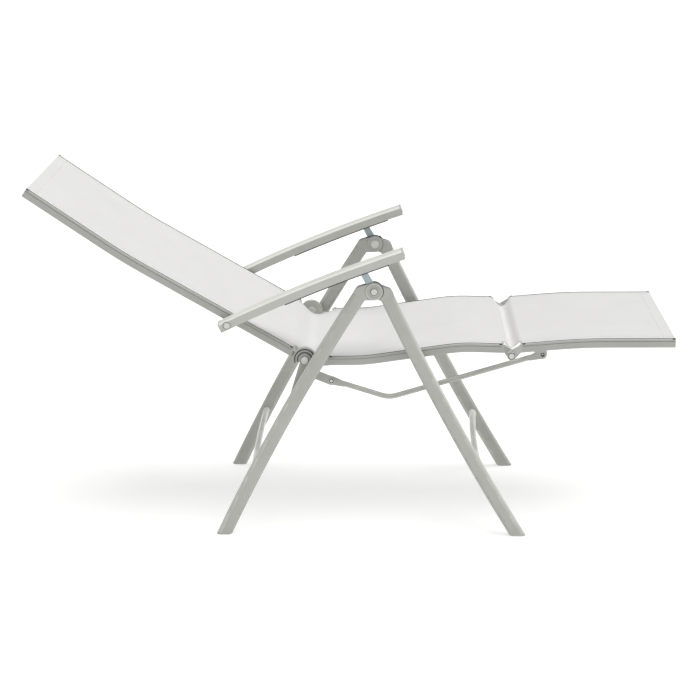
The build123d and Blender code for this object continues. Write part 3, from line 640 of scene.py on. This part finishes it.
def rail_line(corners, bend):
    """The middle line of a bent rail: straight runs, with an arc at each inner corner."""
    spots = [Vector((x, 0, z)) for x, z in corners]
    path = [spots[0]]
    for before, here, after in zip(spots, spots[1:], spots[2:]):
        back, on = (before - here).normalized(), (after - here).normalized()
        half_turn = (math.pi - back.angle(on)) / 2
        middle = here + (back + on).normalized() * (bend / math.cos(half_turn))
        arm = here + back * bend * math.tan(half_turn) - middle
        axis = (here - before).cross(after - here).normalized()
        for i in range(BEND_STEPS + 1):
            path.append(middle + Matrix.Rotation(2 * half_turn * i / BEND_STEPS, 3, axis) @ arm)
    return path + [spots[-1]]


def rail_stations(path, insets):
    """Points and directions along a rail's line, evenly spaced between its two insets."""
    lengths = [0.0]
    for a, b in zip(path, path[1:]):
        lengths.append(lengths[-1] + (b - a).length)
    total = lengths[-1] - sum(insets)
    count = round(total / STEP_ALONG)
    places = [0.0, END_ROW] + [total * i / count for i in range(1, count)]
    places += [total - END_ROW, total]
    points = []
    k = 0
    for place in places:
        at = insets[0] + place
        while k < len(path) - 2 and lengths[k + 1] < at:
            k += 1
        share = (at - lengths[k]) / (lengths[k + 1] - lengths[k])
        points.append(path[k].lerp(path[k + 1], share))
    steps = [(b - a).normalized() for a, b in zip(points, points[1:])]
    between = [(a + b).normalized() for a, b in zip(steps, steps[1:])]
    return points, [steps[0]] + between + [steps[-1]]


def sitterward(run):
    """The direction from a rail towards the sitter, square to the rail's run."""
    return Vector((-run.z, 0, run.x))


def raised(points, runs, height):
    """A line moved off the rail's line towards the sitter."""
    return [p + sitterward(r) * height for p, r in zip(points, runs)]


def sling_half():
    """Half of the sheet's section, as distance from the middle and drop, to its folded edge."""
    flat_half = GROOVE_PLANE - FOLD_RADIUS
    half = [(flat_half * i / SHEET_CELLS, 0.0) for i in range(SHEET_CELLS + 1)]
    for i in range(1, FOLD_STEPS + 1):
        turn = math.pi / 2 * i / FOLD_STEPS
        drop = FOLD_RADIUS * (1 - math.cos(turn))
        half.append((flat_half + FOLD_RADIUS * math.sin(turn), drop))
    return half + [(GROOVE_PLANE, GROOVE_REACH)]


def measured(half):
    """Distance along a half section from its middle to each of its points."""
    out = [0.0]
    for a, b in zip(half, half[1:]):
        out.append(out[-1] + math.dist(a, b))
    return out


def grid_piece(name, rows, uvs, material, thickness):
    """A sheet from rows of points, with its own UV map in metres, given a wall."""
    width = len(rows[0])
    points = [p for row in rows for p in row]
    faces = [
        (i * width + j, i * width + j + 1, (i + 1) * width + j + 1, (i + 1) * width + j)
        for i in range(len(rows) - 1)
        for j in range(width - 1)
    ]
    piece = skin_piece(name, points, faces, material)
    flat = [uv for row in uvs for uv in row]
    layer = piece.data.uv_layers.new(name="weave")
    for loop in piece.data.loops:
        layer.data[loop.index].uv = flat[loop.vertex_index]
    wall = piece.modifiers.new("wall", "SOLIDIFY")
    wall.thickness = thickness
    wall.offset = 1.0
    keep_as_mesh(piece)
    for face in list(piece.data.polygons)[2 * len(faces):]:
        face.use_smooth = False
    return piece


def cord_piece(name, paths, half_width, half_height, material):
    """Oval cords along paths of points and runs, standing on edge."""
    points, faces = [], []
    for path in paths:
        start = len(points)
        for p, r in path:
            for k in range(CORD_SIDES):
                turn = math.tau * k / CORD_SIDES
                across = Vector((0, half_width * math.cos(turn), 0))
                points.append(p + across + sitterward(r) * half_height * math.sin(turn))
        last = len(points) - CORD_SIDES
        for here in range(start, last, CORD_SIDES):
            beyond = here + CORD_SIDES
            for k in range(CORD_SIDES):
                on = (k + 1) % CORD_SIDES
                faces.append((here + k, here + on, beyond + on, beyond + k))
        faces.append(tuple(range(start + CORD_SIDES - 1, start - 1, -1)))
        faces.append(tuple(range(last, last + CORD_SIDES)))
    return skin_piece(name, points, faces, material)


def both_sides(line, plane):
    """A line of points and runs, moved out to the left and to the right rail."""
    return [[(p + Vector((0, side * plane, 0)), r) for p, r in line] for side in (1, -1)]


sling_mesh = woven("sling_mesh", SLING_WHITE)
half = sling_half()
spread = measured(half)
section = [(-y, d, -s) for (y, d), s in zip(half, spread)][:0:-1]
section += [(y, d, s) for (y, d), s in zip(half, spread)]
sheets, seams = {}, {}
run_on = 0.0
for name, corners, bend, insets in (
    ("back", BACK_CORNERS, BACK_BEND, (-CAP_COVER, SHEET_INSET)),
    ("seat", SEAT_CORNERS, SEAT_BEND, (SHEET_INSET, SHEET_INSET)),
    ("leg_rest", LEG_REST_CORNERS, LEG_REST_BEND, (SHEET_INSET, -CAP_COVER)),
):
    points, runs = rail_stations(rail_line(corners, bend), insets)
    low = raised(points, runs, RAIL_HALF_HEIGHT + SLING_LIFT)
    rows, uvs, at = [], [], run_on
    for i, (p, r) in enumerate(zip(low, runs)):
        if i:
            at += (p - low[i - 1]).length
        rows.append([p + Vector((0, y, 0)) - sitterward(r) * d for y, d, s in section])
        uvs.append([(s, at) for y, d, s in section])
    piece = grid_piece(name + "_mesh", rows, uvs, sling_mesh, SLING_THICKNESS)
    sheets[name] = (piece, at - run_on)
    seams[name] = (low, runs)
    run_on = at
    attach(piece, name)
    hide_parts(name + "_sling")
    welt_line = list(zip(raised(points, runs, WELT_HEIGHT), runs))
    side_line = list(zip(raised(points, runs, LINE_HEIGHT), runs))[1:-1]
    welts_and_groove_shade = both_sides(welt_line, WELT_PLANE)
    stops_and_groove_shade = both_sides(welt_line[:STOP_ROWS], STOP_PLANE)
    stops_and_groove_shade += both_sides(welt_line[-STOP_ROWS:], STOP_PLANE)
    lines_of_shade = both_sides(side_line, RAIL_OUTER)
    # Painted shade: welts, stops and rail lines are black to draw the shade in the rails' grooves.
    for trim, paths, half_width, half_height, slot in (
        ("welts_and_groove_shade", welts_and_groove_shade, WELT_HALF_WIDTH, WELT_HALF_HEIGHT, "sling"),
        ("stops_and_groove_shade", stops_and_groove_shade, STOP_HALF_WIDTH, STOP_HALF_HEIGHT, "sling"),
        ("rail_lines_of_shade", lines_of_shade, LINE_HALF_WIDTH, LINE_HALF_HEIGHT, "rail"),
    ):
        edging = cord_piece(f"{name}_{trim}", paths, half_width, half_height, nylon_and_painted_shade)
        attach(edging, name)


# Seams of the sling: two rows of polyester stitches hold the welt pocket along each rail, and one
# row holds the hem at the head and at the toes. The hem is turned under and shows below as a
# second layer.
THREAD_WHITE = (0.80, 0.796, 0.782)
STITCH_PITCH = 0.0042
STITCH_RADIUS = 0.00030
STITCH_LENGTH = 0.0016
STITCH_ROUNDS = 1
THREAD_CLOUD = 0.004
SEAM_INSET = 0.0135
SEAM_GAP = 0.005
SEAM_CELLS = 40
HEM_WIDTH = 0.024
HEM_HALF_LENGTH = 0.225
HEM_DROP = 0.0011
HEM_THICKNESS = 0.0008
HEM_CELLS = 20
HEM_ENDS = {"back": 1, "leg_rest": -1}
seam_plane = GROOVE_PLANE - SEAM_INSET


def matt(name, colour, roughness, size, low, high):
    """A matt material of cloudy colour, with its cloud size in metres."""
    material, nodes, links, shader = new_material(name)
    place = nodes.new("ShaderNodeTexCoord").outputs["Object"]
    cloud = mottle(nodes, links, place, size, low, high)
    links.new(shaded(nodes, links, colour, cloud), shader.inputs["Base Color"])
    shader.inputs["Roughness"].default_value = roughness
    return material


def spread_across(reach, cells):
    """Even distances from one side to the other, with so many cells on each side."""
    return [reach * (k / cells - 1) for k in range(2 * cells + 1)]


def hem_rows(line, width):
    """The first stations of a line, up to the hem's width."""
    travelled, rows = 0.0, [line[0]]
    for before, here in zip(line, line[1:]):
        travelled += (here[0] - before[0]).length
        rows.append(here)
        if travelled >= width:
            break
    return rows


thread = matt("thread", THREAD_WHITE, roughness=0.55, size=THREAD_CLOUD, low=0.9, high=1.05)
stitch_tree = row_tree("stitch_row", STITCH_ROUNDS)
for name, (piece, length) in sheets.items():
    low, runs = seams[name]
    top = raised(low, runs, SLING_THICKNESS)
    rows = [
        [p + Vector((0, side * (seam_plane - gap), 0)) for p in top]
        for side in (1, -1)
        for gap in (0, SEAM_GAP)
    ]
    if name in HEM_ENDS:
        hem_line = hem_rows(list(zip(low, runs))[::HEM_ENDS[name]], HEM_WIDTH)
        p, r = hem_line[-1]
        spot = p + sitterward(r) * SLING_THICKNESS
        rows.append([spot + Vector((0, y, 0)) for y in spread_across(seam_plane, SEAM_CELLS)])
        across = spread_across(HEM_HALF_LENGTH, HEM_CELLS)
        under = [
            [p + Vector((0, y, 0)) - sitterward(r) * HEM_DROP for y in across]
            for p, r in hem_line
        ]
        under_uv = [[(y, STEP_ALONG * i) for y in across] for i in range(len(hem_line))]
        hem = grid_piece(name + "_hem", under, under_uv, sling_mesh, HEM_THICKNESS)
        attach(hem, name)
    stitches = path_piece(name + "_stitches", rows, closed=False)
    grow(
        stitches, stitch_tree,
        Pitch=STITCH_PITCH, Radius=STITCH_RADIUS, Length=STITCH_LENGTH, Finish=thread,
    )
    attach(stitches, name)


# Sling over the hinges: the same mesh runs on, cut in at both sides to clear the lugs, and dips
# into a soft trough.
STRIP_HALF_END = 0.2290
STRIP_STEPS = 24
STRIP_CELLS = 24


def strip_line(a, run_a, b, run_b, dip, shares):
    """A smooth line between two sheet ends that dips in the middle, at shares of its way."""
    gap = (b - a).length
    down = -sitterward(b - a).normalized()
    line = []
    for t in shares:
        from_a = a * (2 * t**3 - 3 * t**2 + 1) + run_a * gap * (t**3 - 2 * t**2 + t)
        to_b = b * (3 * t**2 - 2 * t**3) + run_b * gap * (t**3 - t**2)
        line.append(from_a + to_b + down * dip * math.sin(math.pi * t) ** 2)
    return line


for name, stands_for, before, after, dip, notch, bodies in (
    ("corner_strip", "corner_sling", "back", "seat", 0.011, 0.016, ("seat", "back")),
    ("knee_strip", "knee_sling", "seat", "leg_rest", 0.016, 0.009, ("seat", "leg_rest")),
):
    low_before, runs_before = seams[before]
    low_after, runs_after = seams[after]
    a, b = low_before[-1], low_after[0]
    end_share = END_ROW / (b - a).length
    shares = [0.0, end_share] + [i / STRIP_STEPS for i in range(1, STRIP_STEPS)]
    shares += [1 - end_share, 1.0]
    line = strip_line(a, runs_before[-1], b, runs_after[0], dip, shares)
    rows, uvs, at = [], [], 0.0
    for i, (t, p) in enumerate(zip(shares, line)):
        if i:
            at += (p - line[i - 1]).length
        across = spread_across(STRIP_HALF_END - notch * math.sin(math.pi * t), STRIP_CELLS)
        rows.append([p + Vector((0, y, 0)) for y in across])
        uvs.append([(y, at) for y in across])
    strip = grid_piece(name, rows, uvs, sling_mesh, SLING_THICKNESS)
    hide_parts(stands_for)
    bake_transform(strip)


# Studio: a plain pale floor under soft light, and a camera where the photograph was taken.
FLOOR_HALF = 30
FLOOR_DROP = 0.0005
FLOOR_GREY = (0.60, 0.60, 0.595)
FLOOR_CLOUD = 0.5
FLOOR_GLOW = 0.55
SKY_STRENGTH = 0.33
SUN_AIM = (-0.24, 0.12, -1.0)
SUN_STRENGTH = 2.80
SUN_WIDTH = 60
floor = new_piece(
    "floor",
    [
        (-FLOOR_HALF, -FLOOR_HALF, 0), (FLOOR_HALF, -FLOOR_HALF, 0),
        (FLOOR_HALF, FLOOR_HALF, 0), (-FLOOR_HALF, FLOOR_HALF, 0),
    ],
    faces=[(0, 1, 2, 3)],
)
floor.location.z = -FLOOR_DROP
pale = matt("pale_floor", FLOOR_GREY, roughness=0.7, size=FLOOR_CLOUD, low=0.995, high=1.0)
pale_shader = pale.node_tree.nodes["Principled BSDF"]
pale_shader.inputs["Emission Color"].default_value = (1.0, 1.0, 1.0, 1)
pale_shader.inputs["Emission Strength"].default_value = FLOOR_GLOW
floor.data.materials.append(pale)

world = bpy.data.worlds.new("studio")
world.use_nodes = True
sky = world.node_tree.nodes["Background"]
sky.inputs["Color"].default_value = (1.0, 1.0, 1.0, 1)
sky.inputs["Strength"].default_value = SKY_STRENGTH
bpy.context.scene.world = world
lamp = bpy.data.lights.new("overhead", "SUN")
lamp.energy = SUN_STRENGTH
lamp.angle = math.radians(SUN_WIDTH)
light = bpy.data.objects.new("overhead", lamp)
light.rotation_euler = Vector(SUN_AIM).to_track_quat("-Z", "Y").to_euler()
bpy.context.scene.collection.objects.link(light)

FOCAL_PIXELS = 2200.0
IMAGE_PIXELS = 696
SENSOR_WIDTH = 36.0
CAMERA_PLACE = (0.065491, -5.1022, 1.5991)
YAW, PITCH, ROLL = math.radians(-0.832), math.radians(13.523), math.radians(0.102)
ahead = Vector((
    math.sin(YAW) * math.cos(PITCH), math.cos(YAW) * math.cos(PITCH), -math.sin(PITCH)
))
right = Vector((math.cos(YAW), -math.sin(YAW), 0))
up = right.cross(ahead)
tilted = right * math.cos(ROLL) + up * math.sin(ROLL)
upright = -right * math.sin(ROLL) + up * math.cos(ROLL)
lens = bpy.data.cameras.new("camera")
lens.sensor_fit = "HORIZONTAL"
lens.sensor_width = SENSOR_WIDTH
lens.lens = SENSOR_WIDTH * FOCAL_PIXELS / IMAGE_PIXELS
camera = bpy.data.objects.new("camera", lens)
aim = Matrix((tilted, upright, -ahead)).transposed().to_4x4()
camera.matrix_world = Matrix.Translation(CAMERA_PLACE) @ aim
bpy.context.scene.collection.objects.link(camera)
bpy.context.scene.camera = camera
bpy.context.scene.view_settings.view_transform = "Standard"
